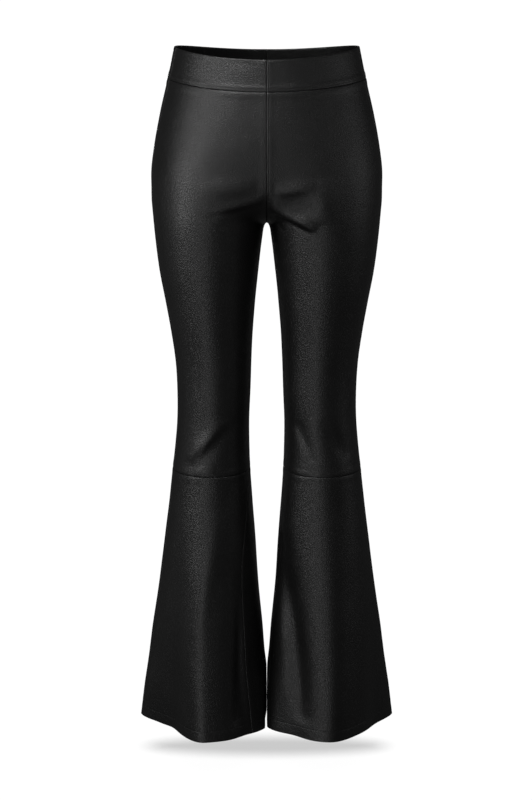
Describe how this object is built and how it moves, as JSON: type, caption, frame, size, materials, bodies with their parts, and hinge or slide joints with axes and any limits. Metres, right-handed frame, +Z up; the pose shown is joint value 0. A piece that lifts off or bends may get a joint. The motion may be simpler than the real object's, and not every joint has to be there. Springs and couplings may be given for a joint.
{
  "type": "leather flare trousers",
  "caption": "High-waisted pull-on leather trousers with a wide waistband, close-fitting thighs and long flares sewn on at the knee, open at waist and hems.",
  "frame": {"origin": "middle of the waist opening, level with the top edge of the waistband at the sides", "axes": "+Z up, the front faces -Y, the wearer's left is +X"},
  "size_m": [0.4059, 0.2452, 1.0713],
  "materials": {
    "waistband_leather": "smooth black nappa leather, semi-gloss, folded double",
    "leg_leather": "smooth black nappa leather, semi-gloss",
    "flare_leather": "smooth black nappa leather, semi-gloss"
  },
  "bodies": {
    "root": {"waistband_front_left": "waistband_leather", "waistband_front_right": "waistband_leather", "waistband_back_left": "waistband_leather", "waistband_back_right": "waistband_leather", "leg_front_left": "leg_leather", "leg_front_right": "leg_leather", "leg_back_left": "leg_leather", "leg_back_right": "leg_leather", "flare_front_left": "flare_leather", "flare_front_right": "flare_leather", "flare_back_left": "flare_leather", "flare_back_right": "flare_leather"}
  },
  "joints": []
}
